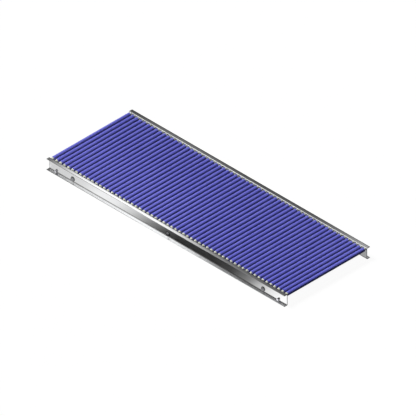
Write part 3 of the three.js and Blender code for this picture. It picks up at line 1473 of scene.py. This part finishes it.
@dataclass(frozen=True)
class CardSet:
    """The cards that the bright steel mirrors, each where a stretch of the sheet looks for its light."""

    # Over the bed: the height, the ends along X, and the lines along Y where one card gives way to the next.
    overhead: float = 0.2
    left: float = -1.9
    right: float = 1.2
    far: float = 0.9
    far_parting: float = 0.12
    near_parting: float = -0.30
    near: float = -0.8
    # On the ground before the near rail, and on the rail's lower flange.
    ground: float = 0.0004
    ground_half: float = 1.2
    rail_half: float = 0.752
    flange_tip: float = -0.2715
    flange_root: float = -0.2533
    flange_level: float = 0.0024
    # Upright along the upper folds, and before the near upper flange's tip.
    far_fold: float = 0.2465
    far_fold_top: float = 0.0682
    near_fold: float = -0.2495
    near_fold_top: float = 0.0662
    fold_foot: float = 0.0602
    tip_off: float = -0.273
    tip_top: float = 0.057
    tip_foot: float = 0.046
    # On the ground inside the rails, and past the right end.
    web_half: float = 0.8
    far_web: float = 0.2495
    past_end: float = 1.8
    past_near: float = -0.27
    past_far: float = 1.4

    def _over_rails(self) -> tuple[Card, ...]:
        """Lays out the cards over the bed.

        Returns:
            Those that the near and the far upper flange and the near lower one mirror.
        """
        top, left, right = self.overhead, self.left, self.right
        near, far, parting, outer = self.near_parting, self.far, self.far_parting, self.near
        return (
            Card("card_over_near_flange", (left, near, top), (right, parting, top), OVER_NEAR_GLOW, 1.13),
            Card("card_over_far_flange", (left, parting, top), (right, far, top), OVER_FAR_GLOW),
            Card("card_over_lower_flange", (left, outer, top), (right, near, top), OVER_LOWER_GLOW),
        )

    def _beside_near_web(self) -> tuple[Card, ...]:
        """Lays out the cards that the near web mirrors.

        Returns:
            One on the ground before the rail, and one that lies on its lower flange.
        """
        reach, low, half, level = self.ground_half, self.ground, self.rail_half, self.flange_level
        tip, root = self.flange_tip, self.flange_root
        return (
            Card("card_before_near_rail", (-reach, self.near, low), (reach, tip, low), NEAR_WEB_GLOW),
            Card("card_on_near_flange", (-half, tip, level), (half, root, level), NEAR_WEB_GLOW, 1.0, True),
        )

    def _beside_folds(self) -> tuple[Card, ...]:
        """Lays out the narrow cards that stand along the upper folds and the near flange's tip.

        Returns:
            Those for the far fold, the near fold and the tip.
        """
        half, foot, off = self.rail_half, self.fold_foot, self.tip_off
        far, far_top, near, near_top = self.far_fold, self.far_fold_top, self.near_fold, self.near_fold_top
        top, low = self.tip_top, self.tip_foot
        return (
            Card("card_before_far_fold", (-half, far, far_top), (half, far, foot), EVEN_GLOW, 1.75, True),
            Card("card_behind_near_fold", (-half, near, foot), (half, near, near_top), EVEN_GLOW, 0.01, True),
            Card("card_before_near_tip", (-half, off, top), (half, off, low), NEAR_TIP_GLOW, 2.0, True),
        )

    def _on_ground(self) -> tuple[Card, ...]:
        """Lays out the cards that hide the bright floor from the far web, the bed and the last roller.

        Returns:
            Those under the far web, under the bed and past the right end.
        """
        low, half, reach = self.ground, self.rail_half, self.web_half
        parting, web = self.far_parting, self.far_web
        near, far, past = self.past_near, self.past_far, self.past_end
        return (
            Card("card_under_far_web", (-reach, parting, low), (reach, web, low), EVEN_GLOW, 0.42),
            Card("card_under_bed", (-half, -web, low), (half, parting, low), EVEN_GLOW, 0.02),
            Card("card_past_right_end", (half, near, low), (past, far, low), EVEN_GLOW, 0.02),
        )

    def build(self) -> None:
        """Sets out all cards."""
        for group in (self._over_rails(), self._beside_near_web(), self._beside_folds(), self._on_ground()):
            for card in group:
                card.build()


@dataclass(frozen=True)
class Studio:
    """Camera, lamps, air and floor."""

    # The camera: the way back to it, what it aims at, and the photograph's scale and shift in its pixels.
    back: Triple = (1.0, -1.0, 1.0)
    aim: Triple = (0.0, 0.0, 0.030)
    frame_pixels: float = 416.0
    pixels_per_metre: float = 224.35
    aim_left: float = 0.22
    aim_up: float = 0.20
    distance: float = 3.0
    # The two suns.
    key_towards: Triple = (-0.45, -0.20, 0.87)
    key_spread: float = math.radians(24)
    key_strength: float = 3.35
    gleam_towards: Triple = (-0.47, 0.58, 0.67)
    gleam_spread: float = math.radians(16)
    gleam_strength: float = 0.6
    # The air, and the floor as the eye, a mirror and scattered light find it.
    air: float = 0.056
    floor_half: float = 30.0
    floor_level: float = -0.0003
    floor_glow: float = 0.945
    floor_shade: float = 0.06
    floor_bounce: float = 0.05
    painted_bed_shadow: float = 0.95
    # The sheets in the bed's gaps.
    fill_half: float = 0.239
    fill_below: float = 0.014
    fill_above: float = 0.0085
    fill_colour: Colour = (0.12, 0.11, 0.10)

    def _hang(self, name: str, data: bpy.types.ID, back: Vector, target: Vector) -> bpy.types.Object:
        """Hangs a lamp or a camera so that it looks at a target.

        Args:
            name: The object's name.
            data: The lamp or the camera.
            back: The way from the target to it, of length 1.
            target: What it looks at.

        Returns:
            The object.
        """
        made = new_object(name, data)
        made.location = target + back * self.distance
        made.rotation_euler = back.to_track_quat("Z", "Y").to_euler()
        return made

    def _sun(self, name: str, towards: Triple, spread: float, strength: float) -> bpy.types.Object:
        """Hangs a soft sun.

        Args:
            name: The object's name.
            towards: The way to it.
            spread: The angle that it fills.
            strength: Its strength.

        Returns:
            The object.
        """
        lamp = bpy.data.lights.new(name, "SUN")
        lamp.angle = spread
        lamp.energy = strength
        return self._hang(name, lamp, Vector(towards).normalized(), Vector())

    def camera(self) -> None:
        """Sets up the parallel camera at the photograph's angle."""
        back = Vector(self.back).normalized()
        right = Vector((0.0, 0.0, 1.0)).cross(back).normalized()
        up = back.cross(right)
        pixel = 1 / self.pixels_per_metre
        target = Vector(self.aim) - right * (self.aim_left * pixel) + up * (self.aim_up * pixel)
        lens = bpy.data.cameras.new("view")
        lens.type = "ORTHO"
        lens.ortho_scale = self.frame_pixels * pixel
        bpy.context.scene.camera = self._hang("view", lens, back, target)

    def lamps(self) -> None:
        """Sets the soft key light, and the gleam along each roller, which only the plastic takes."""
        key = self._sun("key", self.key_towards, self.key_spread, self.key_strength)
        key.visible_glossy = False
        gleam = self._sun("gleam", self.gleam_towards, self.gleam_spread, self.gleam_strength)
        gleam.visible_diffuse = False
        takers = bpy.data.collections.new("takes_gleam")
        for piece in bpy.data.objects:
            if piece.name.endswith(("_tube", "_caps")):
                takers.objects.link(piece)
        gleam.light_linking.receiver_collection = takers

    def sky(self) -> None:
        """Fills the air: white where it is seen, dim where it is mirrored or lights the object."""
        world = bpy.data.worlds.new("studio_air")
        world.use_nodes = True
        graph = ShaderGraph(world.node_tree)
        _, aside, up = graph.axes(graph.node("ShaderNodeTexCoord", output="Generated"))
        mirrored = graph.signed_ramp(up, MIRRORED_AIR) * (0.5 - aside * 0.6)
        seen = graph.rays("Is Camera Ray")
        gloss = graph.rays("Is Glossy Ray", "Is Transmission Ray") * (1 - seen)
        strength = seen + gloss * mirrored + (1 - seen) * (1 - gloss) * self.air
        light = graph.node("ShaderNodeBackground", None, {"Color": shade(WHITE), "Strength": strength})
        graph.node("ShaderNodeOutputWorld", None, {"Surface": light})
        bpy.context.scene.world = world

    def floor(self) -> None:
        """Lays the pale floor, which glows and takes a shadow at once, has a painted shadow under the bed for
        the eye, and is clear from below.
        """
        half, level = self.floor_half, self.floor_level
        corners = ((-half, -half, level), (half, -half, level), (half, half, level), (-half, half, level))
        material, graph = new_material("floor_pale")
        across = graph.ramp(graph.axes()[1].size(), BED_SHADE_ACROSS)
        # Painted shadow under the bed, which only the eye sees.
        shadow = BED_SHADE_ALONG.on(graph) * across * graph.rays("Is Camera Ray") * self.painted_bed_shadow
        glow = graph.node("ShaderNodeEmission", None, {"Strength": (1 - shadow) * self.floor_glow})
        shaded = graph.node("ShaderNodeBsdfDiffuse", None, {"Color": shade(WHITE, self.floor_shade)})
        plain = graph.node("ShaderNodeBsdfDiffuse", None, {"Color": shade(WHITE, self.floor_bounce)})
        pale = graph.node("ShaderNodeAddShader", None, {0: glow, 1: shaded})
        seen = graph.rays("Is Camera Ray", "Is Glossy Ray", "Is Transmission Ray")
        above = graph.node("ShaderNodeMixShader", None, {0: seen, 1: plain, 2: pale})
        graph.finish(graph.clear_from_behind(above))
        stage_sheet("floor", corners, ((0, 1, 2, 3),), material)

    def fills(self, row: Row) -> None:
        """Stands a sheet in each gap of the bed, which only scattered light meets and which keeps it dim.

        Args:
            row: The places of the axles.
        """
        half, low, high = self.fill_half, row.height - self.fill_below, row.height + self.fill_above
        corners = [
            (row.first + (index - 0.5) * row.step, aside, up)
            for index in range(row.count)
            for aside, up in ((-half, low), (half, low), (half, high), (-half, high))
        ]
        faces = [tuple(range(start, start + 4)) for start in range(0, len(corners), 4)]
        material, graph = new_material("gap_fill")
        inputs = {"Color": shade(self.fill_colour), "Strength": 1.0}
        graph.finish(graph.node("ShaderNodeEmission", None, inputs))
        unseen_by = ("camera", "glossy", "transmission", "volume_scatter", "shadow")
        stage_sheet("gap_fills", corners, faces, material, unseen_by)

    def build(self, layout: Layout) -> None:
        """Sets up everything but the camera, which comes before the pieces.

        Args:
            layout: Where the rollers are.
        """
        self.lamps()
        self.sky()
        self.floor()
        CardSet().build()
        self.fills(layout.axles())
        bpy.context.scene.view_settings.view_transform = "Standard"


def main() -> None:
    """Builds the camera, the conveyor and the studio, in that order."""
    logging.basicConfig(level=logging.INFO, format="%(name)s: %(message)s")
    studio = Studio()
    studio.camera()
    layout = Layout()
    shop = Shop()
    for side in Side:
        SideRail(layout, side).build(shop)
    RollerBed(layout).build(shop)
    CrossTies(layout).build(shop)
    EndRods(layout).build(shop)
    studio.build(layout)


if __name__ == "__main__":
    main()
